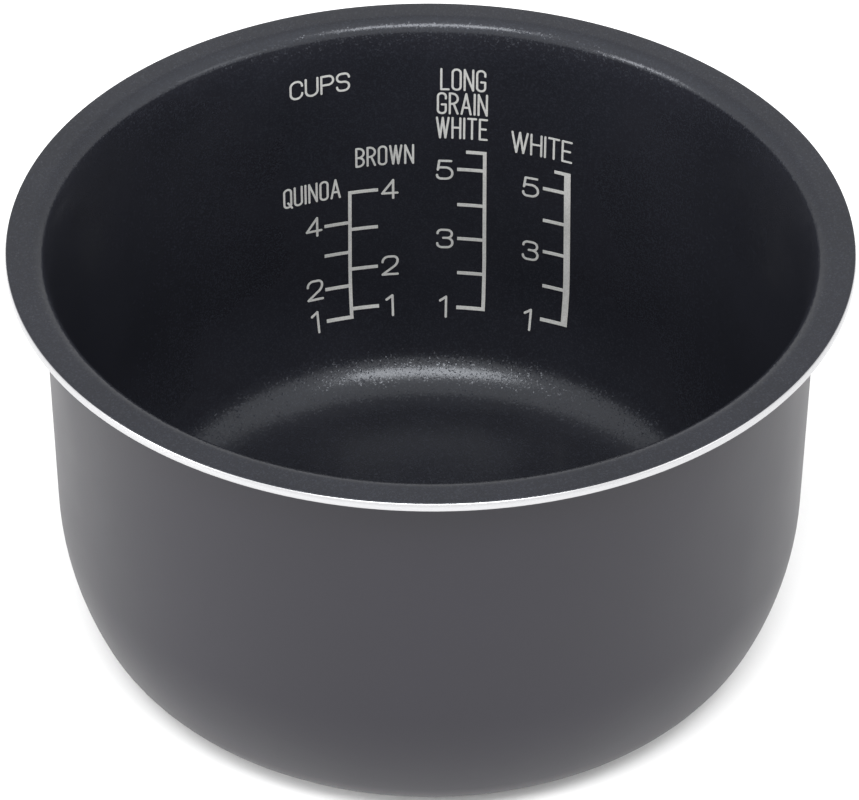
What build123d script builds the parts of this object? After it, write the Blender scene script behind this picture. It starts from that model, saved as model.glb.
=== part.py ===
from build123d import *

import os
from math import cos, degrees, radians, sin, tan

# Removable inner cooking pan of a rice cooker: a pressed aluminium pot with a
# rolled-out brim, a non-stick lining, an outer coating and printed water scales.
# The origin is the centre of the base on the surface the pan stands on, +Z is up,
# and the printed scales face -Y from the +Y side of the wall.

# ---------------------------------------------------------------- pot, mm
HEIGHT = 115.8  # standing surface to the top of the brim
RIM_RADIUS = 105.0  # bare metal edge of the brim
METAL = 2.0  # pressed sheet
COAT = 0.2  # outer coating, thicker than the real film
LINING = 0.2  # non-stick lining, thicker than the real film
INK = 0.1  # how far the printed ink stands off the lining
WALL_RADIUS = 96.0  # finished outside of the wall, just below the brim
WALL_TAPER = 0.3  # degrees, the wall narrows downwards
BELLY_RADIUS = 75.0  # gentle curve below the upright wall
BELLY_TURN = 22.0  # degrees of slope where the belly meets the base corner
CORNER_RADIUS = 20.0  # tight curve round the base
BRIM_BEND = 2.6  # outside radius of the bend under the brim
MOUTH_RADIUS = 99.0  # lining, where the flat brim starts to turn down
MOUTH_BEND = 4.2  # tight part of the mouth's turn
MOUTH_TURN = 75.0  # degrees, after which a long gentle arc leads into the wall
LINING_SETBACK = 0.4  # lining stops this far inside the metal edge
COAT_SETBACK = 0.5  # coating stops this far inside the metal edge
EDGE_BREAK = 0.25  # rounding of the brim edge's lower corner
BEVEL_IN = 0.35  # machined bevel on the brim edge's upper corner, across the brim
BEVEL_DOWN = 1.2  # and down the edge
PAD_RADIUS = 68.0  # bare turned disc that meets the heater plate
PAD_STEP = 0.1  # how far that disc stands below the coating

WALL_BUILD = COAT + METAL + LINING  # finished wall, outside to inside

# ------------------------------------------------- printed scales, mm and degrees
# Heights are above the standing surface. Azimuths run from +Y towards +X.
TICK_LINE = 1.0
NUMERAL_LINE = 0.64
LETTER_LINE = 0.58
PRINT_REACH = 6.0  # how far a mark's prism runs to each side of the wall

# Height of each printed cup level, from one cup up.
WHITE_LEVELS = [24.2, 34.6, 46.0, 56.5, 67.0]
LONG_LEVELS = [24.4, 35.2, 46.7, 58.1, 69.8]
BROWN_LEVELS = [25.3, 37.8, 51.2, 63.5]
QUINOA_LEVELS = [22.9, 32.5, 43.6, 53.6]
WHITE_HALF_CUP = 73.2  # five and a half cups
LONG_HALF_CUP = 75.6

# An upright's line width, and the azimuth and height of its top and its bottom.
WHITE_UPRIGHT = {"width": 1.85, "top": (23.25, WHITE_HALF_CUP), "bottom": (23.9, 24.2)}
LONG_UPRIGHT = {"width": 1.0, "top": (8.97, LONG_HALF_CUP), "bottom": (9.24, 24.4)}
BROWN_UPRIGHT = {"width": 0.95, "top": (-13.68, 63.5), "bottom": (-13.88, 22.9)}

# Tick lengths from the middle of the upright, to the right when positive.
WHITE_TICK = -7.0
WHITE_HALF_TICK = -3.75
LONG_TICK = -7.5
LONG_HALF_TICK = -5.1
BROWN_TICK = 7.8
QUINOA_TICK = -7.2

NUMERAL_HEIGHT = 6.5
NUMERAL_WIDTH = 4.8
LABEL_HEIGHT = 7.0
SMALL_LABEL_HEIGHT = 6.4
CUPS_HEIGHT = 5.9

# The stroke alphabet. A letter is (relative width, strokes). A stroke is a chain of
# points on a cell 1 wide and 1 high, and a corner marked R is rounded as far as its
# two legs allow.
R = "round"
BOWL = [(0, 1), (1, 1, R), (1, 0.48, R), (0, 0.48)]
RING = [
    [(0.5, 1), (0, 1, R), (0, 0, R), (0.5, 0)],
    [(0.5, 1), (1, 1, R), (1, 0, R), (0.5, 0)],
]
STROKES = {
    "A": (1.15, [[(0, 0), (0.5, 1), (1, 0)], [(0.17, 0.32), (0.83, 0.32)]]),
    "B": (1, [[(0, 0), (0, 1)], BOWL, [(0, 0.48), (1, 0.48, R), (1, 0, R), (0, 0)]]),
    "C": (1, [[(1, 0.72), (1, 1, R), (0, 1, R), (0, 0, R), (1, 0, R), (1, 0.28)]]),
    "E": (0.9, [[(1, 1), (0, 1), (0, 0), (1, 0)], [(0, 0.52), (0.85, 0.52)]]),
    "G": (1, [[(1, 0.74), (1, 1, R), (0, 1, R), (0, 0, R), (1, 0, R), (1, 0.44), (0.5, 0.44)]]),
    "H": (1, [[(0, 0), (0, 1)], [(1, 0), (1, 1)], [(0, 0.52), (1, 0.52)]]),
    "I": (0, [[(0, 0), (0, 1)]]),
    "L": (0.9, [[(0, 1), (0, 0), (1, 0)]]),
    "N": (1.05, [[(0, 0), (0, 1), (1, 0), (1, 1)]]),
    "O": (1, RING),
    "P": (1, [[(0, 0), (0, 1)], BOWL]),
    "Q": (1, RING + [[(0.55, 0.24), (1.1, -0.06)]]),
    "R": (1, [[(0, 0), (0, 1)], BOWL, [(0.5, 0.48), (1, 0)]]),
    "S": (1, [[(1, 0.78), (1, 1, R), (0, 1, R), (0, 0.52, R), (1, 0.52, R), (1, 0, R),
               (0, 0, R), (0, 0.22)]]),
    "T": (1, [[(0, 1), (1, 1)], [(0.5, 1), (0.5, 0)]]),
    "U": (1, [[(0, 1), (0, 0, R), (1, 0, R), (1, 1)]]),
    "W": (1.5, [[(0, 1), (0.27, 0), (0.5, 1), (0.73, 0), (1, 1)]]),
    "1": (0.4, [[(0, 0.8), (1, 1), (1, 0)]]),
    "2": (1, [[(0, 0.7), (0, 1, R), (1, 1, R), (1, 0.56, R), (0, 0), (1, 0)]]),
    "3": (1, [[(0.02, 0.8), (0.02, 1, R), (0.96, 1, R), (0.96, 0.54, R), (0.4, 0.54)],
              [(0.4, 0.54), (1, 0.54, R), (1, 0, R), (0, 0, R), (0, 0.22)]]),
    "4": (1, [[(0.72, 0), (0.72, 1), (0, 0.28)], [(0, 0.28), (1, 0.28)]]),
    "5": (1, [[(0.92, 1), (0.14, 1), (0.05, 0.5)],
              [(0.05, 0.5), (0.05, 0.63, R), (1, 0.63, R), (1, 0, R), (0, 0, R), (0, 0.2)]]),
}


# ---------------------------------------------------------------- the pot's section
def polar(centre, radius, angle):
    """Point at an angle on a circle in the section plane, radius then height."""
    return (
        centre[0] + radius * cos(radians(angle)),
        centre[1] + radius * sin(radians(angle)),
    )


BELLY_DROP = BELLY_RADIUS * (sin(radians(BELLY_TURN)) - sin(radians(WALL_TAPER)))
CORNER_DROP = CORNER_RADIUS * (1 - sin(radians(BELLY_TURN)))
BELLY_TOP = PAD_STEP + CORNER_DROP + BELLY_DROP
BEND_TOP = HEIGHT - WALL_BUILD  # finished underside of the brim
BEND_CENTRE = (WALL_RADIUS + BRIM_BEND, BEND_TOP - BRIM_BEND)
WALL_FOOT_RADIUS = WALL_RADIUS - (BEND_CENTRE[1] - BELLY_TOP) * tan(radians(WALL_TAPER))
BELLY_CENTRE = polar((WALL_FOOT_RADIUS, BELLY_TOP), BELLY_RADIUS, 180 - WALL_TAPER)
CORNER_CENTRE = polar(BELLY_CENTRE, BELLY_RADIUS - CORNER_RADIUS, -BELLY_TURN)


def lead_radius():
    """Radius of the arc that leads from the mouth's tight bend into the lined wall."""
    slope = tan(radians(WALL_TAPER))
    start = polar(MOUTH_CENTRE, MOUTH_BEND, 90 + MOUTH_TURN)
    wall_foot = WALL_RADIUS - WALL_BUILD - BEND_CENTRE[1] * slope
    across = polar((0, 0), 1, 90 + MOUTH_TURN)
    onto_wall = polar((0, 0), 1, 180 - WALL_TAPER)
    gap = start[0] - wall_foot - start[1] * slope
    return gap / ((across[0] - onto_wall[0]) - slope * (across[1] - onto_wall[1]))


MOUTH_CENTRE = (MOUTH_RADIUS, HEIGHT - MOUTH_BEND)
LEAD_RADIUS = lead_radius()
LEAD_CENTRE = polar(MOUTH_CENTRE, MOUTH_BEND - LEAD_RADIUS, 90 + MOUTH_TURN)


def arc(centre, radius, start, end):
    """Arc of the section between two angles."""
    points = [polar(centre, radius, angle) for angle in (start, (start + end) / 2, end)]
    return ThreePointArc(*points)


def brim_turn(depth):
    """Arcs from the wall to the brim: one under the brim, and two in the mouth."""
    if depth <= COAT:
        return [arc(BEND_CENTRE, BRIM_BEND + depth, 180 - WALL_TAPER, 90)]
    raised = depth - WALL_BUILD
    return [
        arc(LEAD_CENTRE, LEAD_RADIUS + raised, 180 - WALL_TAPER, 90 + MOUTH_TURN),
        arc(MOUTH_CENTRE, MOUTH_BEND + raised, 90 + MOUTH_TURN, 90),
    ]


def section_line(depth, outer_radius):
    """Section of the surface that lies depth beneath the finished outside, as lines
    and arcs from the axis along the base, up the wall and out to outer_radius."""
    corner = arc(CORNER_CENTRE, CORNER_RADIUS - depth, -90, -BELLY_TURN)
    belly = arc(BELLY_CENTRE, BELLY_RADIUS - depth, -BELLY_TURN, -WALL_TAPER)
    turn = brim_turn(depth)
    brim_start = turn[-1] @ 1
    return [
        Line((0, PAD_STEP + depth), corner @ 0),
        corner,
        belly,
        Line(belly @ 1, turn[0] @ 0),
        *turn,
        Line(brim_start, (outer_radius, brim_start.Y)),
    ]


def lathe(edges):
    """Solid of revolution about Z of a closed section drawn as radius and height."""
    return revolve(Plane.XZ * make_face(edges), Axis.Z)


def layer(outer_depth, inner_depth, outer_radius):
    """One layer of the pot between two depths beneath the finished outside."""
    outside = section_line(outer_depth, outer_radius)
    inside = section_line(inner_depth, outer_radius)
    axis_side = Line(outside[0] @ 0, inside[0] @ 0)
    edge_side = Line(outside[-1] @ 1, inside[-1] @ 1)
    return lathe(outside + inside + [axis_side, edge_side])


def rim_bevel(top):
    """Ring of waste metal turned off the upper corner of the brim's edge."""
    corner = (RIM_RADIUS + 1, top + 1)
    inner = (RIM_RADIUS - BEVEL_IN, top)
    lower = (RIM_RADIUS, top - BEVEL_DOWN)
    over = (inner[0], corner[1])
    beside = (corner[0], lower[1])
    corners = [inner, lower, beside, corner, over]
    return lathe([Line(*leg) for leg in zip(corners, corners[1:] + corners[:1])])


def make_pan_shell():
    """Pressed aluminium pot with a machined brim edge and a turned contact disc."""
    pot = layer(COAT, COAT + METAL, RIM_RADIUS)
    rim_edges = pot.edges().filter_by(lambda edge: edge.geom_type == GeomType.CIRCLE)
    rim_edges = rim_edges.filter_by(lambda edge: abs(edge.radius - RIM_RADIUS) < 0.01)
    pot = fillet(rim_edges.sort_by(Axis.Z)[0], EDGE_BREAK) - rim_bevel(HEIGHT - LINING)
    disc = Cylinder(PAD_RADIUS, PAD_STEP + COAT, align=(Align.CENTER, Align.CENTER, Align.MIN))
    return pot + disc


def make_outer_coating():
    """Coating outside the wall and under the brim, open round the contact disc."""
    coat = layer(0, COAT, RIM_RADIUS - COAT_SETBACK)
    opening = Cylinder(PAD_RADIUS, 4 * (PAD_STEP + COAT))
    return coat - opening


def make_lining():
    """Non-stick lining inside the pot and on top of the brim."""
    return layer(COAT + METAL, WALL_BUILD, RIM_RADIUS - LINING_SETBACK)


# ---------------------------------------------------------------- the printed marks
def wall_radius_at(height):
    """Radius of the lining's face at a height on the belly or the upright wall."""
    belly = BELLY_RADIUS - WALL_BUILD
    if height < BELLY_TOP:
        return BELLY_CENTRE[0] + (belly**2 - (BELLY_CENTRE[1] - height) ** 2) ** 0.5
    below_bend = BEND_CENTRE[1] - height
    return WALL_RADIUS - WALL_BUILD - below_bend * tan(radians(WALL_TAPER))


def corner_radius(points, rounded, i):
    """Largest radius that rounds corner i. A leg whose other end is rounded too gives
    just under half of itself, and any other leg nearly all."""
    corner = Vector(*points[i])
    legs = [Vector(*points[i + step]) - corner for step in (-1, 1)]
    shares = [0.49 if rounded[i + step] else 0.98 for step in (-1, 1)]
    half_angle = radians(legs[0].get_angle(legs[1])) / 2
    return min(share * leg.length for share, leg in zip(shares, legs)) * tan(half_angle)


def stroke_face(stroke, width, height, line):
    """Flat face of one pen stroke with round ends, on a cell of the given size."""
    points = [(point[0] * width, point[1] * height) for point in stroke]
    rounded = [len(point) == 3 for point in stroke]
    if len(points) == 2:
        path = Line(*points)
    else:
        radii = [
            corner_radius(points, rounded, i) if rounded[i] else 0
            for i in range(1, len(points) - 1)
        ]
        path = FilletPolyline(*points, radius=radii)
    return SlotArc(path, line)


def place_on_wall(faces, azimuth, height):
    """Faces drawn on a plane, carried to the wall and cut to the ink's thickness."""
    outward = Vector(sin(radians(azimuth)), cos(radians(azimuth)), 0)
    across = Vector(cos(radians(azimuth)), -sin(radians(azimuth)), 0)
    origin = outward * (wall_radius_at(height) - PRINT_REACH) + Vector(0, 0, height)
    wall_plane = Plane(origin=origin, x_dir=across, z_dir=-outward)
    prism = extrude(wall_plane * faces, amount=-2 * PRINT_REACH)
    return (prism & INK_SHELL).solids()


def letter(character, azimuth, height, width, cell_height, line):
    """One printed letter, centred at an azimuth and a height on the wall."""
    centre_line_height = cell_height - line
    faces = Sketch()
    for stroke in STROKES[character][1]:
        faces += stroke_face(stroke, width, centre_line_height, line)
    centred = Pos(-width / 2, -centre_line_height / 2) * faces
    return place_on_wall(centred, azimuth, height)


def word(text, azimuth, height, width, cell_height, line=LETTER_LINE):
    """A word of the given overall width, its letters turned round the wall."""
    shares = [STROKES[character][0] for character in text]
    gap = 1.25 * line + 0.35
    unit = (width - line - gap * (len(text) - 1)) / sum(shares)
    solids = []
    cursor = -(width - line) / 2
    for character, share in zip(text, shares):
        offset = cursor + share * unit / 2
        turn = degrees(offset / wall_radius_at(height))
        solids += letter(character, azimuth + turn, height, share * unit, cell_height, line)
        cursor += share * unit + gap
    return solids


def numeral(character, azimuth, height):
    """One cup number, level with its tick."""
    width = STROKES[character][0] * (NUMERAL_WIDTH - NUMERAL_LINE)
    return letter(character, azimuth, height, width, NUMERAL_HEIGHT, NUMERAL_LINE)


def upright_azimuth(upright, height):
    """Azimuth of an upright at a height: it leans a little as it goes down."""
    (top_azimuth, top), (bottom_azimuth, bottom) = upright["top"], upright["bottom"]
    share = (height - bottom) / (top - bottom)
    return bottom_azimuth + share * (top_azimuth - bottom_azimuth)


def scale(upright, ticks):
    """An upright and its ticks, fused where they meet. A tick is (height, length),
    and a negative length points to the left."""
    bottom, top = upright["bottom"][1], upright["top"][1]
    middle = (bottom + top) / 2
    azimuth = upright_azimuth(upright, middle)

    def across(height):
        """Distance round the wall from the middle azimuth to the upright."""
        turn = upright_azimuth(upright, height) - azimuth
        return wall_radius_at(height) * radians(turn)

    side = upright["width"] / 2
    end = TICK_LINE / 2
    post = Polygon(
        (across(bottom) - side, bottom - middle - end),
        (across(bottom) + side, bottom - middle - end),
        (across(top) + side, top - middle + end),
        (across(top) - side, top - middle + end),
        align=None,
    )
    faces = Sketch() + post
    for height, length in ticks:
        bar = Rectangle(abs(length), TICK_LINE)
        faces += Pos(across(height) + length / 2, height - middle) * bar
    return place_on_wall(faces, azimuth, middle)


def ticks_at(levels, length):
    """Ticks of one length at every level."""
    return [(level, length) for level in levels]


def make_scales():
    """The three printed scales, as lists of solids by node."""
    shared_ticks = ticks_at(BROWN_LEVELS, BROWN_TICK) + ticks_at(QUINOA_LEVELS, QUINOA_TICK)
    long_ticks = ticks_at(LONG_LEVELS, LONG_TICK) + [(LONG_HALF_CUP, LONG_HALF_TICK)]
    white_ticks = ticks_at(WHITE_LEVELS, WHITE_TICK) + [(WHITE_HALF_CUP, WHITE_HALF_TICK)]
    return {
        "quinoa_brown_scale": scale(BROWN_UPRIGHT, shared_ticks),
        "long_grain_scale": scale(LONG_UPRIGHT, long_ticks),
        "white_scale": scale(WHITE_UPRIGHT, white_ticks),
    }


def make_numerals():
    """The cup numbers beside each scale, as lists of solids by node."""
    quinoa = numeral("4", -20.0, 54.0) + numeral("2", -20.1, 33.0) + numeral("1", -20.5, 23.2)
    brown = numeral("4", -6.9, 63.4) + numeral("2", -6.9, 37.8) + numeral("1", -7.1, 25.2)
    long_grain = numeral("5", 2.3, 69.5) + numeral("3", 2.4, 46.5) + numeral("1", 2.2, 24.5)
    white = numeral("5", 16.9, 66.6) + numeral("3", 17.1, 45.4) + numeral("1", 17.2, 23.4)
    return {
        "quinoa_numerals": quinoa,
        "brown_numerals": brown,
        "long_grain_numerals": long_grain,
        "white_numerals": white,
    }


def make_labels():
    """The words above the scales, as lists of solids by node."""
    long_grain = (
        word("LONG", 5.25, 98.9, 12.4, LABEL_HEIGHT)
        + word("GRAIN", 5.15, 91.2, 13.8, LABEL_HEIGHT)
        + word("WHITE", 5.1, 83.3, 14.1, LABEL_HEIGHT)
    )
    return {
        "cups_label": word("CUPS", -18.6, 99.8, 16.9, CUPS_HEIGHT),
        "long_grain_label": long_grain,
        "white_label": word("WHITE", 18.7, 80.6, 17.3, LABEL_HEIGHT),
        "brown_label": word("BROWN", -7.75, 74.7, 16.1, SMALL_LABEL_HEIGHT),
        "quinoa_label": word("QUINOA", -20.3, 65.5, 16.5, SMALL_LABEL_HEIGHT),
    }


INK_SHELL = layer(WALL_BUILD, WALL_BUILD + INK, RIM_RADIUS - LINING_SETBACK)


# ---------------------------------------------------------------- write the nodes
def main():
    os.makedirs("parts", exist_ok=True)
    nodes = {
        "pan_shell": make_pan_shell().solids(),
        "outer_coating": make_outer_coating().solids(),
        "nonstick_lining": make_lining().solids(),
    }
    nodes.update(make_scales())
    nodes.update(make_numerals())
    nodes.update(make_labels())
    for name, solids in nodes.items():
        export_step(Compound(children=list(solids)), f"parts/{name}.step")
        print(name, len(solids), "solids")


main()
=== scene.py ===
"""Removable inner cooking pan of a rice cooker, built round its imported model.

The pan is turned about its own axis from one section: a pressed aluminium pot, a
dark non-stick lining with mica in it, and a charcoal coating outside. The printed
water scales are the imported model's own pieces, in a screen ink.
"""

import math

import bmesh
import bpy
from bpy.props import FloatProperty, FloatVectorProperty, IntProperty, PointerProperty
from mathutils import Matrix, Vector


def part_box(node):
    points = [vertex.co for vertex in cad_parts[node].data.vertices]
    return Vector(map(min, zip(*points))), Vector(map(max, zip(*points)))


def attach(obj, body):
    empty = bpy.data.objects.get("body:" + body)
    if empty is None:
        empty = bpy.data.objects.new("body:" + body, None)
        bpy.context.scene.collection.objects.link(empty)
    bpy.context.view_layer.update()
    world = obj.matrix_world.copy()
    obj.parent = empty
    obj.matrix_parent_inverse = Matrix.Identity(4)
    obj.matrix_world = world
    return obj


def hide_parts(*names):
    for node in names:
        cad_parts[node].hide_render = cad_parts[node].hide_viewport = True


bl_info = {
    "name": "Rice Cooker Inner Pan",
    "version": (1, 0, 0),
    "blender": (4, 5, 0),
    "location": "3D View > Sidebar > Inner Pan",
    "description": "Turns a rice cooker's coated cooking pan, prints its scales, lights it",
    "category": "Object",
}

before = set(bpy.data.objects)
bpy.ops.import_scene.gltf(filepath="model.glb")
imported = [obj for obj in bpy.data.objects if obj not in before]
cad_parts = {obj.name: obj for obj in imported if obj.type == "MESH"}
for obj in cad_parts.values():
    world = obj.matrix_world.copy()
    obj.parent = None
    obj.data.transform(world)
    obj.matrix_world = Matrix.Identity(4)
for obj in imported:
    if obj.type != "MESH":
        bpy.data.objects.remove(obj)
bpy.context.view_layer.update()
SHELL_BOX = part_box("pan_shell")
LINING_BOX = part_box("nonstick_lining")
COATING_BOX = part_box("outer_coating")

BODY = "root"
MM = 0.001
SHARP_ANGLE = math.radians(28.0)  # a turned corner sharper than this keeps its edge
PRINT_ENDINGS = ("_scale", "_numerals", "_label")


# ------------------------------------------------------------------ settings
class PanSizes(bpy.types.PropertyGroup):
    """Sizes of the pan's section."""

    pan_height: FloatProperty(
        name="Pan height", description="Standing surface to the lining on the brim",
        default=LINING_BOX[1].z, min=0.05, unit="LENGTH")
    rim_radius: FloatProperty(
        name="Rim radius", description="Axis to the bare edge of the brim",
        default=SHELL_BOX[1].x, min=0.05, unit="LENGTH")
    lining_radius: FloatProperty(
        name="Lining radius", description="Axis to where the lining stops on the brim",
        default=LINING_BOX[1].x, min=0.05, unit="LENGTH")
    coating_radius: FloatProperty(
        name="Coating radius", description="Axis to where the coating stops under the brim",
        default=COATING_BOX[1].x, min=0.05, unit="LENGTH")
    pad_step: FloatProperty(
        name="Pad step", description="How far the bare disc stands below the coating",
        default=COATING_BOX[0].z, min=0.0, unit="LENGTH")
    brim_metal: FloatProperty(
        name="Brim metal", description="Bare metal turned as the rim, from the edge inwards",
        default=2.0 * MM, min=0.0005, unit="LENGTH")
    lining_film: FloatProperty(
        name="Lining film", description="Thickness of the non-stick lining",
        default=LINING_BOX[1].z - SHELL_BOX[1].z, min=0.0, unit="LENGTH")
    coating_film: FloatProperty(
        name="Coating film", description="Thickness of the outer coating",
        default=0.2 * MM, min=0.0, unit="LENGTH")
    metal: FloatProperty(
        name="Metal", description="Thickness of the pressed sheet",
        default=2.0 * MM, min=0.0, unit="LENGTH")
    wall_radius: FloatProperty(
        name="Wall radius", description="Outside of the wall just below the brim",
        default=96.0 * MM, min=0.04, unit="LENGTH")
    wall_taper: FloatProperty(
        name="Wall taper", description="Slope of the upright wall, narrowing downwards",
        default=math.radians(0.3), unit="ROTATION")
    belly_radius: FloatProperty(
        name="Belly radius", description="Gentle curve below the upright wall",
        default=75.0 * MM, min=0.03, unit="LENGTH")
    belly_turn: FloatProperty(
        name="Belly turn", description="Slope where the belly meets the base corner",
        default=math.radians(22.0), unit="ROTATION")
    corner_radius: FloatProperty(
        name="Corner radius", description="Tight curve round the base",
        default=20.0 * MM, min=0.005, unit="LENGTH")
    brim_bend: FloatProperty(
        name="Brim bend", description="Outside radius of the bend under the brim",
        default=2.6 * MM, min=0.0005, unit="LENGTH")
    mouth_radius: FloatProperty(
        name="Mouth radius", description="Where the flat brim starts to turn down",
        default=99.0 * MM, min=0.04, unit="LENGTH")
    mouth_bend: FloatProperty(
        name="Mouth bend", description="Tight part of the mouth's turn",
        default=4.2 * MM, min=0.001, unit="LENGTH")
    mouth_turn: FloatProperty(
        name="Mouth turn", description="After it a long gentle arc leads into the wall",
        default=math.radians(75.0), unit="ROTATION")
    bevel_in: FloatProperty(
        name="Bevel in", description="Machined bevel of the rim, across the brim",
        default=0.35 * MM, min=0.0, unit="LENGTH")
    bevel_down: FloatProperty(
        name="Bevel down", description="Machined bevel of the rim, down its edge",
        default=1.2 * MM, min=0.0, unit="LENGTH")
    edge_round: FloatProperty(
        name="Edge rounding", description="Rounding of the rim's machined corners",
        default=0.35 * MM, min=0.0, unit="LENGTH")
    pad_radius: FloatProperty(
        name="Pad radius", description="Bare turned disc under the base",
        default=68.0 * MM, min=0.01, unit="LENGTH")
    segments: IntProperty(
        name="Segments", description="Steps round the axis", default=256, min=32, max=512)


class PanFinishes(bpy.types.PropertyGroup):
    """Colours of the pan's finishes."""

    lining_colour: FloatVectorProperty(
        name="Lining", description="Non-stick lining between its mica flakes",
        default=(0.0108, 0.0112, 0.0148), size=3, min=0.0, max=1.0, subtype="COLOR")
    mica_colour: FloatVectorProperty(
        name="Mica", description="Flakes in the non-stick lining",
        default=(0.11, 0.13, 0.17), size=3, min=0.0, max=1.0, subtype="COLOR")
    mica_size: FloatProperty(
        name="Mica size", description="Width of a mica flake",
        default=0.33 * MM, min=0.05 * MM, unit="LENGTH")
    coating_colour: FloatVectorProperty(
        name="Coating", description="Charcoal coating outside",
        default=(0.0120, 0.0110, 0.0162), size=3, min=0.0, max=1.0, subtype="COLOR")
    metal_colour: FloatVectorProperty(
        name="Metal", description="Bare machined aluminium",
        default=(0.47, 0.47, 0.48), size=3, min=0.0, max=1.0, subtype="COLOR")
    ink_colour: FloatVectorProperty(
        name="Ink", description="Screen ink of the printed scales",
        default=(0.48, 0.48, 0.47), size=3, min=0.0, max=1.0, subtype="COLOR")


class StageSettings(bpy.types.PropertyGroup):
    """Camera, floor and lights."""

    camera_elevation: FloatProperty(
        name="Camera elevation", description="Angle of the view above the horizon",
        default=math.radians(38.24), unit="ROTATION")
    camera_distance: FloatProperty(
        name="Camera distance", description="Camera to the point that it aims at",
        default=1.0, min=0.1, unit="LENGTH")
    camera_roll: FloatProperty(
        name="Camera roll", description="Turn of the camera about its own view",
        default=math.radians(0.25), unit="ROTATION")
    aim_drop: FloatProperty(
        name="Aim drop", description="Aim below the middle of the mouth, across the view",
        default=41.3 * MM, unit="LENGTH")
    aim_side: FloatProperty(
        name="Aim aside", description="Aim to the right of the axis",
        default=-0.12 * MM, unit="LENGTH")
    lens: FloatProperty(
        name="Lens", description="Focal length on a 36 mm wide sensor",
        default=169.75, min=10.0, subtype="DISTANCE_CAMERA")
    floor_colour: FloatVectorProperty(
        name="Floor", description="Pale floor",
        default=(0.86, 0.86, 0.86), size=3, min=0.0, max=1.0, subtype="COLOR")
    room_brightness: FloatProperty(
        name="Room brightness", description="White surroundings overhead and in front",
        default=1.6, min=0.0)
    room_behind: FloatProperty(
        name="Room behind", description="Share of that brightness behind the pan",
        default=0.50, min=0.0, max=1.0)
    key_elevation: FloatProperty(
        name="Key elevation", description="Height of the soft box above the horizon",
        default=math.radians(55.8), unit="ROTATION")
    key_power: FloatProperty(
        name="Key power", description="Soft box in front and above",
        default=21.0, min=0.0, unit="POWER")
    key_distance: FloatProperty(
        name="Key distance", description="Soft box to the middle of the mouth",
        default=1.6, min=0.2, unit="LENGTH")
    key_width: FloatProperty(
        name="Key width", description="Width of the soft box",
        default=1.15, min=0.01, unit="LENGTH")
    key_height: FloatProperty(
        name="Key height", description="Height of the soft box",
        default=0.44, min=0.01, unit="LENGTH")
    side_turn: FloatProperty(
        name="Side turn", description="Turn of the two low soft boxes away from the front",
        default=math.radians(66.0), unit="ROTATION")
    side_elevation: FloatProperty(
        name="Side elevation", description="Height of the two low soft boxes above the horizon",
        default=math.radians(20.0), unit="ROTATION")
    side_distance: FloatProperty(
        name="Side distance", description="Low soft boxes to the middle of the mouth",
        default=1.2, min=0.2, unit="LENGTH")
    side_width: FloatProperty(
        name="Side width", description="Width of each low soft box",
        default=0.45, min=0.01, unit="LENGTH")
    side_height: FloatProperty(
        name="Side height", description="Height of each low soft box",
        default=0.25, min=0.01, unit="LENGTH")
    left_power: FloatProperty(
        name="Left power", description="Low soft box on the left",
        default=4.5, min=0.0, unit="POWER")
    right_power: FloatProperty(
        name="Right power", description="Low soft box on the right",
        default=1.0, min=0.0, unit="POWER")


# ------------------------------------------------------------- the pan's section
def polar(centre, radius, angle):
    """Point at an angle on a circle in the section plane, as radius and height."""
    return (centre[0] + radius * math.cos(angle), centre[1] + radius * math.sin(angle))


def arc(centre, radius, start, end, step=math.radians(4.0)):
    """Points along an arc of the section, both ends included."""
    count = max(2, math.ceil(abs(end - start) / step))
    return [polar(centre, radius, start + (end - start) * i / count) for i in range(count + 1)]


def straight(start, end, step=3.0 * MM):
    """Points along a straight stretch of the section, both ends included."""
    count = max(1, math.ceil(math.dist(start, end) / step))
    return [
        (start[0] + (end[0] - start[0]) * i / count, start[1] + (end[1] - start[1]) * i / count)
        for i in range(count + 1)
    ]


def rounded(points, radius, steps=4):
    """A chain of corners, each rounded by a short curve that starts radius before it."""
    chain = [points[0]]
    for before, corner, after in zip(points, points[1:], points[2:]):
        into = Vector(before) - Vector(corner)
        out_of = Vector(after) - Vector(corner)
        first = Vector(corner) + into.normalized() * min(radius, into.length * 0.45)
        last = Vector(corner) + out_of.normalized() * min(radius, out_of.length * 0.45)
        for i in range(steps + 1):
            t = i / steps
            point = (1 - t) ** 2 * first + 2 * t * (1 - t) * Vector(corner) + t**2 * last
            chain.append(tuple(point))
    return chain + [points[-1]]


def without_repeats(points):
    """The points with any that repeats the one before it left out."""
    kept = [points[0]]
    for point in points[1:]:
        if math.dist(point, kept[-1]) > 1e-7:
            kept.append(point)
    return kept


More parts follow.
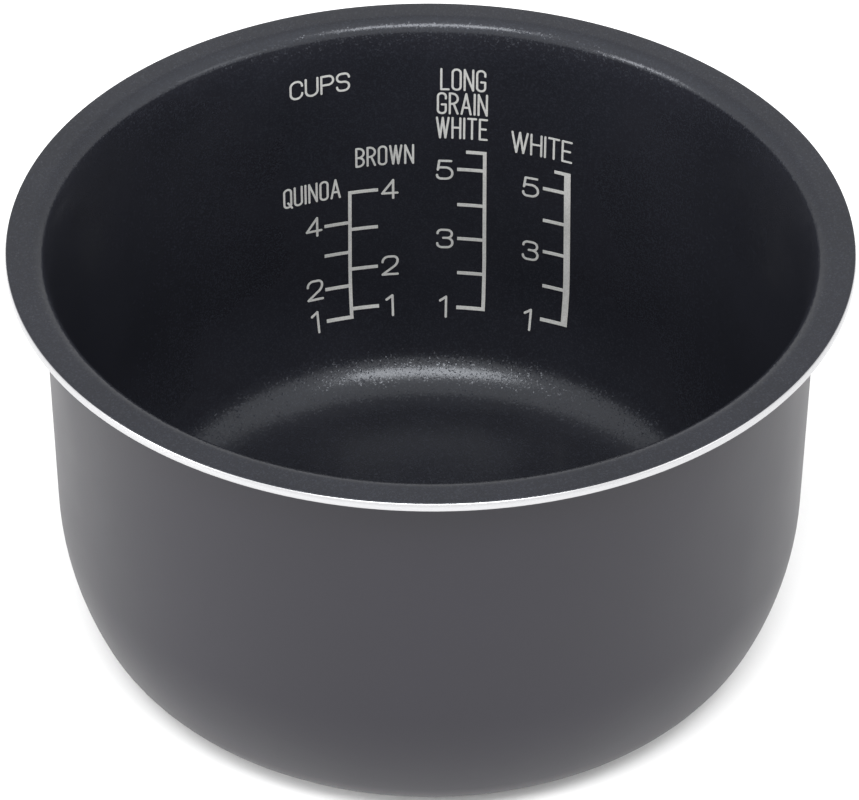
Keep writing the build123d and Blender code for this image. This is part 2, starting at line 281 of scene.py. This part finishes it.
class Section:
    """The pan's section: surfaces at a depth beneath its finished outside."""

    def __init__(self, sizes):
        self.sizes = sizes
        self.build = sizes.coating_film + sizes.metal + sizes.lining_film
        belly_sines = math.sin(sizes.belly_turn) - math.sin(sizes.wall_taper)
        corner_drop = sizes.corner_radius * (1 - math.sin(sizes.belly_turn))
        belly_top = sizes.pad_step + corner_drop + sizes.belly_radius * belly_sines
        bend_top = sizes.pan_height - self.build
        self.bend_centre = (sizes.wall_radius + sizes.brim_bend, bend_top - sizes.brim_bend)
        wall_rise = self.bend_centre[1] - belly_top
        foot_radius = sizes.wall_radius - wall_rise * math.tan(sizes.wall_taper)
        foot = (foot_radius, belly_top)
        inwards = math.pi - sizes.wall_taper
        self.belly_centre = polar(foot, sizes.belly_radius, inwards)
        to_corner = sizes.belly_radius - sizes.corner_radius
        self.corner_centre = polar(self.belly_centre, to_corner, -sizes.belly_turn)
        self.mouth_centre = (sizes.mouth_radius, sizes.pan_height - sizes.mouth_bend)
        self.mouth_end = math.pi / 2 + sizes.mouth_turn
        self.lead_radius = self.find_lead_radius()
        self.lead_centre = polar(self.mouth_centre, sizes.mouth_bend - self.lead_radius,
                                 self.mouth_end)

    def find_lead_radius(self):
        """Radius of the arc that leads from the mouth's tight bend into the wall."""
        sizes = self.sizes
        slope = math.tan(sizes.wall_taper)
        start = polar(self.mouth_centre, sizes.mouth_bend, self.mouth_end)
        wall_foot = sizes.wall_radius - self.build - self.bend_centre[1] * slope
        across = polar((0.0, 0.0), 1.0, self.mouth_end)
        onto_wall = polar((0.0, 0.0), 1.0, math.pi - sizes.wall_taper)
        gap = start[0] - wall_foot - start[1] * slope
        return gap / ((across[0] - onto_wall[0]) - slope * (across[1] - onto_wall[1]))

    def brim_turn(self, depth):
        """Points from the wall to the brim: one arc under the brim, two in the mouth."""
        sizes = self.sizes
        wall_side = math.pi - sizes.wall_taper
        if depth <= sizes.coating_film * 1.01:
            return arc(self.bend_centre, sizes.brim_bend + depth, wall_side, math.pi / 2)
        raised = depth - self.build
        lead = arc(self.lead_centre, self.lead_radius + raised, wall_side, self.mouth_end,
                   math.radians(2.0))
        bend = arc(self.mouth_centre, sizes.mouth_bend + raised, self.mouth_end, math.pi / 2)
        return lead + bend

    def surface(self, depth, start_radius, end_radius):
        """Points from start_radius on the base, up the wall and out to end_radius."""
        sizes = self.sizes
        base_level = sizes.pad_step + depth
        corner = arc(self.corner_centre, sizes.corner_radius - depth,
                     -math.pi / 2, -sizes.belly_turn)
        belly = arc(self.belly_centre, sizes.belly_radius - depth,
                    -sizes.belly_turn, -sizes.wall_taper, math.radians(2.0))
        turned = self.brim_turn(depth)
        base = straight((start_radius, base_level), corner[0])
        wall = straight(belly[-1], turned[0])
        brim = straight(turned[-1], (end_radius, turned[-1][1]), 1.5 * MM)
        return without_repeats(base + corner + belly + wall + turned + brim)


def turn(name, profile, segments, ring=False):
    """Mesh piece turned about Z. The profile is radius and height from axis to axis,
    or a closed loop clear of the axis for a ring."""
    bm = bmesh.new()
    circles = []
    for radius, height in profile:
        count = segments if radius > 1e-6 else 1
        turns = [2 * math.pi * i / segments for i in range(count)]
        circles.append([
            bm.verts.new((radius * math.sin(a), radius * math.cos(a), height)) for a in turns
        ])
    pairs = list(zip(circles, circles[1:]))
    if ring:
        pairs.append((circles[-1], circles[0]))
    for lower, upper in pairs:
        for i in range(segments):
            j = (i + 1) % segments
            corners = [lower[i % len(lower)], lower[j % len(lower)],
                       upper[j % len(upper)], upper[i % len(upper)]]
            bm.faces.new(list(dict.fromkeys(corners)))
    bmesh.ops.recalc_face_normals(bm, faces=bm.faces)
    mesh = bpy.data.meshes.new(name)
    bm.to_mesh(mesh)
    bm.free()
    mesh.shade_smooth()
    mesh.set_sharp_from_angle(angle=SHARP_ANGLE)
    piece = bpy.data.objects.new(name, mesh)
    bpy.context.scene.collection.objects.link(piece)
    return piece


# ------------------------------------------------------------------ materials
def new_material(name):
    """Material with its node tree and its main shader."""
    material = bpy.data.materials.new(name)
    material.use_nodes = True
    tree = material.node_tree
    return material, tree, tree.nodes["Principled BSDF"]


def add(tree, kind, inputs=None, **settings):
    """Node of one kind, its inputs given as values or as sockets to link."""
    node = tree.nodes.new("ShaderNode" + kind)
    for name, value in settings.items():
        setattr(node, name, value)
    for socket, value in (inputs or {}).items():
        if isinstance(value, bpy.types.NodeSocket):
            tree.links.new(value, node.inputs[socket])
        else:
            node.inputs[socket].default_value = value
    return node


def calculate(tree, operation, first, second=0.0):
    """Result of one sum on two numbers."""
    return add(tree, "Math", {0: first, 1: second}, operation=operation).outputs[0]


def vector_sum(tree, operation, first, second):
    """Result of one sum on two vectors."""
    return add(tree, "VectorMath", {0: first, 1: second}, operation=operation).outputs[0]


def remap(tree, value, low, high, new_low, new_high):
    """A number carried from one range to another, and held there."""
    inputs = {"Value": value, "From Min": low, "From Max": high,
              "To Min": new_low, "To Max": new_high}
    return add(tree, "MapRange", inputs).outputs["Result"]


def noise(tree, where, scale, detail=2.0, roughness=0.5):
    """Value of a noise over the given place."""
    inputs = {"Vector": where, "Scale": scale, "Detail": detail, "Roughness": roughness}
    return add(tree, "TexNoise", inputs).outputs["Fac"]


def blend_colour(tree, share, first, second):
    """Colour between two colours."""
    node = add(tree, "Mix", data_type="RGBA")
    for socket, value in zip((node.inputs["Factor"], node.inputs[6], node.inputs[7]),
                             (share, first, second)):
        if isinstance(value, bpy.types.NodeSocket):
            tree.links.new(value, socket)
        else:
            socket.default_value = value
    return node.outputs[2]


def shade(colour, factor):
    """A colour made lighter or darker, with its alpha."""
    return (*(min(1.0, channel * factor) for channel in colour), 1.0)


def lining_material(finishes):
    """Non-stick lining: near black, satin, with fine mica flakes that tilt at random,
    so that its highlights are grainy and bluish."""
    material, tree, shader = new_material("mica_nonstick")
    where = add(tree, "TexCoord").outputs["Object"]
    clouds = noise(tree, where, 35.0, 3.0)
    grain = noise(tree, where, 1600.0, 3.0, 0.6)

    cells = add(tree, "TexVoronoi", {"Vector": where, "Scale": 1.0 / finishes.mica_size})
    picks = add(tree, "SeparateColor", {"Color": cells.outputs["Color"]})
    flake = remap(tree, picks.outputs["Red"], 0.62, 0.72, 0.0, 1.0)
    base = blend_colour(tree, remap(tree, clouds, 0.3, 0.7, 0.0, 1.0),
                        shade(finishes.lining_colour, 0.88), shade(finishes.lining_colour, 1.12))
    mica = blend_colour(tree, picks.outputs["Green"],
                        shade(finishes.mica_colour, 0.55), shade(finishes.mica_colour, 1.3))
    tree.links.new(blend_colour(tree, calculate(tree, "MULTIPLY", flake, 0.05), base, mica),
                   shader.inputs["Base Color"])
    tree.links.new(calculate(tree, "MULTIPLY", flake, 0.06), shader.inputs["Metallic"])

    lean = add(tree, "TexWhiteNoise", {"Vector": cells.outputs["Position"]}).outputs["Color"]
    centred = vector_sum(tree, "SUBTRACT", lean, (0.5, 0.5, 0.5))
    tilt_share = calculate(tree, "MULTIPLY", flake, 0.24)
    tilt = add(tree, "VectorMath", {0: centred, "Scale": tilt_share}, operation="SCALE").outputs[0]
    smooth = add(tree, "NewGeometry").outputs["Normal"]
    tilted = vector_sum(tree, "ADD", smooth, tilt)
    flake_normal = add(tree, "VectorMath", {0: tilted}, operation="NORMALIZE").outputs[0]
    bump = add(tree, "Bump", {"Strength": 0.35, "Distance": 0.03 * MM, "Height": grain,
                              "Normal": flake_normal})
    tree.links.new(bump.outputs["Normal"], shader.inputs["Normal"])

    sheen_spots = remap(tree, noise(tree, where, 120.0, 2.0), 0.3, 0.7, 0.20, 0.235)
    tree.links.new(sheen_spots, shader.inputs["Roughness"])
    shader.inputs["IOR"].default_value = 1.41
    shader.inputs["Specular Tint"].default_value = (0.90, 0.94, 1.0, 1.0)
    return material


def coating_material(finishes):
    """Outer coating: satin charcoal paint with a fine orange-peel grain."""
    material, tree, shader = new_material("charcoal_coating")
    where = add(tree, "TexCoord").outputs["Object"]
    clouds = noise(tree, where, 22.0, 3.0)
    specks = noise(tree, where, 2600.0, 2.0, 0.6)
    mixed = calculate(tree, "MULTIPLY", calculate(tree, "ADD", specks, clouds), 0.5)
    tree.links.new(blend_colour(tree, remap(tree, mixed, 0.35, 0.65, 0.0, 1.0),
                                shade(finishes.coating_colour, 0.9),
                                shade(finishes.coating_colour, 1.1)),
                   shader.inputs["Base Color"])
    grain = noise(tree, where, 1100.0, 2.0)
    bump = add(tree, "Bump", {"Strength": 0.3, "Distance": 0.03 * MM, "Height": grain})
    tree.links.new(bump.outputs["Normal"], shader.inputs["Normal"])
    tree.links.new(remap(tree, clouds, 0.3, 0.7, 0.40, 0.46), shader.inputs["Roughness"])
    shader.inputs["IOR"].default_value = 1.40
    return material


def metal_material(finishes):
    """Bare aluminium: bright, with the fine rings that a turning tool leaves."""
    material, tree, shader = new_material("turned_aluminium")
    where = add(tree, "TexCoord").outputs["Object"]
    axes = add(tree, "SeparateXYZ", {"Vector": where})
    across = calculate(tree, "MULTIPLY", axes.outputs["X"], axes.outputs["X"])
    along = calculate(tree, "MULTIPLY", axes.outputs["Y"], axes.outputs["Y"])
    radius = calculate(tree, "SQRT", calculate(tree, "ADD", across, along))
    wander = calculate(tree, "MULTIPLY", noise(tree, where, 25.0), 0.15 * MM)
    ring = add(tree, "CombineXYZ", {"X": calculate(tree, "ADD", radius, wander),
                                    "Y": axes.outputs["Z"]}).outputs[0]
    lines = noise(tree, ring, 5200.0, 2.0, 0.65)
    bump = add(tree, "Bump", {"Strength": 0.5, "Distance": 0.015 * MM, "Height": lines})
    tree.links.new(bump.outputs["Normal"], shader.inputs["Normal"])
    tree.links.new(blend_colour(tree, lines, shade(finishes.metal_colour, 0.94),
                                shade(finishes.metal_colour, 1.03)), shader.inputs["Base Color"])
    tree.links.new(remap(tree, lines, 0.3, 0.7, 0.20, 0.32), shader.inputs["Roughness"])
    shader.inputs["Metallic"].default_value = 1.0
    return material


def ink_material(finishes):
    """Screen ink: matt pale grey, a little uneven where the lining's grain shows."""
    material, tree, shader = new_material("screen_ink")
    where = add(tree, "TexCoord").outputs["Object"]
    density = noise(tree, where, 90.0, 3.0)
    pinholes = noise(tree, where, 2200.0, 3.0, 0.7)
    cover = calculate(tree, "ADD", calculate(tree, "MULTIPLY", density, 0.35),
                      calculate(tree, "MULTIPLY", pinholes, 0.65))
    tree.links.new(blend_colour(tree, remap(tree, cover, 0.35, 0.6, 0.0, 1.0),
                                shade(finishes.ink_colour, 0.74),
                                shade(finishes.ink_colour, 1.05)), shader.inputs["Base Color"])
    bump = add(tree, "Bump", {"Strength": 0.3, "Distance": 0.02 * MM, "Height": pinholes})
    tree.links.new(bump.outputs["Normal"], shader.inputs["Normal"])
    tree.links.new(remap(tree, cover, 0.35, 0.6, 0.62, 0.50), shader.inputs["Roughness"])
    return material


def floor_material(stage):
    """Pale matt floor with a very faint mottle."""
    material, tree, shader = new_material("pale_floor")
    where = add(tree, "TexCoord").outputs["Object"]
    mottle = noise(tree, where, 8.0, 3.0)
    tree.links.new(blend_colour(tree, mottle, shade(stage.floor_colour, 0.99),
                                shade(stage.floor_colour, 1.01)), shader.inputs["Base Color"])
    shader.inputs["Roughness"].default_value = 0.8
    return material


def finish_piece(piece, material, node):
    """Gives a turned piece its material and its body, and hides the imported node that it stands
    for.
    """
    piece.data.materials.append(material)
    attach(piece, BODY)
    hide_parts(node)


# ------------------------------------------------------------------ operators
class INNERPAN_OT_pot(bpy.types.Operator):
    """Turn the pressed aluminium pot with its machined rim and its contact disc"""

    bl_idname = "innerpan.pot"
    bl_label = "Aluminium Pot"

    def execute(self, context):
        sizes = context.scene.pan_sizes
        section = Section(sizes)
        top = sizes.pan_height - sizes.lining_film
        brim_inner = sizes.rim_radius - sizes.brim_metal
        outside = section.surface(sizes.coating_film, sizes.pad_radius, brim_inner)
        inside = section.surface(sizes.coating_film + sizes.metal, 0.0, brim_inner)
        under_brim = outside[-1][1]
        rim = rounded([
            outside[-1],
            (sizes.rim_radius, under_brim),
            (sizes.rim_radius, top - sizes.bevel_down),
            (sizes.rim_radius - sizes.bevel_in, top),
            inside[-1],
        ], sizes.edge_round)
        pad = rounded([(0.0, 0.0), (sizes.pad_radius, 0.0), outside[0]], sizes.edge_round)
        pad = straight(pad[0], pad[1]) + pad[2:]
        profile = without_repeats(pad + outside + rim + inside[::-1])
        piece = turn("aluminium_pot", profile, sizes.segments)
        finish_piece(piece, metal_material(context.scene.pan_finishes),
                     "pan_shell")
        return {"FINISHED"}


class INNERPAN_OT_lining(bpy.types.Operator):
    """Lay the dark non-stick lining inside the pot and over its brim"""

    bl_idname = "innerpan.lining"
    bl_label = "Non-stick Lining"

    def execute(self, context):
        sizes = context.scene.pan_sizes
        section = Section(sizes)
        film = sizes.lining_film
        under = section.surface(section.build - film, 0.0, sizes.lining_radius)
        face = section.surface(section.build, 0.0, sizes.lining_radius - film)
        edge = arc((sizes.lining_radius - film, sizes.pan_height - film), film,
                   0.0, math.pi / 2, math.radians(15.0))
        profile = without_repeats(under + edge + face[::-1])
        piece = turn("lining_film", profile, sizes.segments)
        finish_piece(piece, lining_material(context.scene.pan_finishes),
                     "nonstick_lining")
        return {"FINISHED"}


class INNERPAN_OT_coating(bpy.types.Operator):
    """Lay the charcoal coating outside the wall, under the brim and round the base"""

    bl_idname = "innerpan.coating"
    bl_label = "Outer Coating"

    def execute(self, context):
        sizes = context.scene.pan_sizes
        section = Section(sizes)
        film = sizes.coating_film
        face = section.surface(0.0, sizes.pad_radius + film, sizes.coating_radius - film)
        back = section.surface(film, sizes.pad_radius, sizes.coating_radius)
        brim_edge = arc((sizes.coating_radius - film, back[-1][1]), film,
                        -math.pi / 2, 0.0, math.radians(15.0))
        base_edge = arc((sizes.pad_radius + film, back[0][1]), film,
                        -math.pi, -math.pi / 2, math.radians(15.0))
        profile = without_repeats(face + brim_edge + back[::-1] + base_edge)
        piece = turn("coating_film", profile[:-1], sizes.segments, ring=True)
        finish_piece(piece, coating_material(context.scene.pan_finishes),
                     "outer_coating")
        return {"FINISHED"}


class INNERPAN_OT_print(bpy.types.Operator):
    """Give every printed scale, number and word its screen ink"""

    bl_idname = "innerpan.print"
    bl_label = "Printed Scales"

    def execute(self, context):
        ink = ink_material(context.scene.pan_finishes)
        printed = [
            node for name, node in sorted(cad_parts.items())
            if name.endswith(PRINT_ENDINGS)
        ]
        if not printed:
            raise RuntimeError("the packed model has no printed nodes")
        for node in printed:
            for slot in node.material_slots:
                slot.material = ink
        return {"FINISHED"}


class INNERPAN_OT_stage(bpy.types.Operator):
    """Set the pale floor, the white room, the soft boxes and the camera"""

    bl_idname = "innerpan.stage"
    bl_label = "Floor, Lights and Camera"

    def execute(self, context):
        stage = context.scene.pan_stage
        sizes = context.scene.pan_sizes
        mouth = Vector((0.0, 0.0, sizes.pan_height))
        make_floor(stage)
        make_room(context.scene, stage)
        make_soft_box("key_light", mouth, facing(0.0, stage.key_elevation),
                      stage.key_distance, (stage.key_width, stage.key_height), stage.key_power)
        for name, side, power in (("left_light", -1, stage.left_power),
                                  ("right_light", 1, stage.right_power)):
            direction = facing(side * stage.side_turn, stage.side_elevation)
            make_soft_box(name, mouth, direction, stage.side_distance,
                          (stage.side_width, stage.side_height), power)
        make_camera(context.scene, stage, mouth)
        context.scene.view_settings.view_transform = "Standard"
        return {"FINISHED"}


def make_floor(stage, half=4.0, steps=16):
    """Wide flat floor, as a grid."""
    bm = bmesh.new()
    bmesh.ops.create_grid(bm, x_segments=steps, y_segments=steps, size=half)
    mesh = bpy.data.meshes.new("floor")
    bm.to_mesh(mesh)
    bm.free()
    floor = bpy.data.objects.new("floor", mesh)
    bpy.context.scene.collection.objects.link(floor)
    mesh.materials.append(floor_material(stage))


def make_room(scene, stage):
    """White surroundings, dimmer towards the back."""
    world = bpy.data.worlds.new("white_room")
    world.use_nodes = True
    tree = world.node_tree
    background = tree.nodes["Background"]
    background.inputs["Color"].default_value = (1.0, 1.0, 1.0, 1.0)
    toward = add(tree, "SeparateXYZ", {"Vector": add(tree, "TexCoord").outputs["Generated"]})
    share = remap(tree, toward.outputs["Y"], 0.0, 0.7, 1.0, stage.room_behind)
    brightness = calculate(tree, "MULTIPLY", share, stage.room_brightness)
    tree.links.new(brightness, background.inputs["Strength"])
    scene.world = world


def facing(turned, elevation):
    """Direction turned from the front to the right, at an elevation."""
    level = math.cos(elevation)
    return Vector((math.sin(turned) * level, -math.cos(turned) * level, math.sin(elevation)))


def make_soft_box(name, aim, direction, distance, size, power):
    """Rectangular soft light that faces aim from a direction."""
    data = bpy.data.lights.new(name, "AREA")
    data.shape = "RECTANGLE"
    data.size, data.size_y = size
    data.energy = power
    light = bpy.data.objects.new(name, data)
    light.location = aim + direction * distance
    light.rotation_euler = direction.to_track_quat("Z", "Y").to_euler()
    bpy.context.scene.collection.objects.link(light)
    return light


def make_camera(scene, stage, mouth):
    """Camera in front, looking down into the pan."""
    elevation = stage.camera_elevation
    back = Vector((0.0, -math.cos(elevation), math.sin(elevation)))
    up = Vector((0.0, math.sin(elevation), math.cos(elevation)))
    data = bpy.data.cameras.new("camera")
    data.sensor_fit = "HORIZONTAL"
    data.sensor_width = 36.0
    data.lens = stage.lens
    data.clip_start, data.clip_end = 0.05, 30.0
    camera = bpy.data.objects.new("camera", data)
    aim = mouth - up * stage.aim_drop + Vector((stage.aim_side, 0.0, 0.0))
    camera.location = aim + back * stage.camera_distance
    turn_to_view = back.to_track_quat("Z", "Y").to_matrix()
    camera.rotation_euler = (turn_to_view @ Matrix.Rotation(stage.camera_roll, 3, "Z")).to_euler()
    scene.collection.objects.link(camera)
    scene.camera = camera


# ------------------------------------------------------------------ add-on
STEPS = (INNERPAN_OT_pot, INNERPAN_OT_lining, INNERPAN_OT_coating, INNERPAN_OT_print,
         INNERPAN_OT_stage)


class INNERPAN_PT_panel(bpy.types.Panel):
    """Lists the steps that build the pan and its stage"""

    bl_label = "Inner Pan"
    bl_space_type = "VIEW_3D"
    bl_region_type = "UI"
    bl_category = "Inner Pan"

    def draw(self, context):
        for step in STEPS:
            self.layout.operator(step.bl_idname)
        for group in (context.scene.pan_sizes, context.scene.pan_finishes,
                      context.scene.pan_stage):
            box = self.layout.box()
            for name in group.__annotations__:
                box.prop(group, name)


GROUPS = (PanSizes, PanFinishes, StageSettings)


def register():
    """Adds the classes and the settings that a scene keeps."""
    for cls in (*GROUPS, *STEPS, INNERPAN_PT_panel):
        bpy.utils.register_class(cls)
    bpy.types.Scene.pan_sizes = PointerProperty(type=PanSizes)
    bpy.types.Scene.pan_finishes = PointerProperty(type=PanFinishes)
    bpy.types.Scene.pan_stage = PointerProperty(type=StageSettings)


def unregister():
    """Takes the settings and the classes away again."""
    del bpy.types.Scene.pan_stage
    del bpy.types.Scene.pan_finishes
    del bpy.types.Scene.pan_sizes
    for cls in reversed((*GROUPS, *STEPS, INNERPAN_PT_panel)):
        bpy.utils.unregister_class(cls)


def main():
    """Builds the pan and its stage."""
    register()
    bpy.ops.innerpan.pot()
    bpy.ops.innerpan.lining()
    bpy.ops.innerpan.coating()
    bpy.ops.innerpan.print()
    bpy.ops.innerpan.stage()


if __name__ == "__main__":
    main()
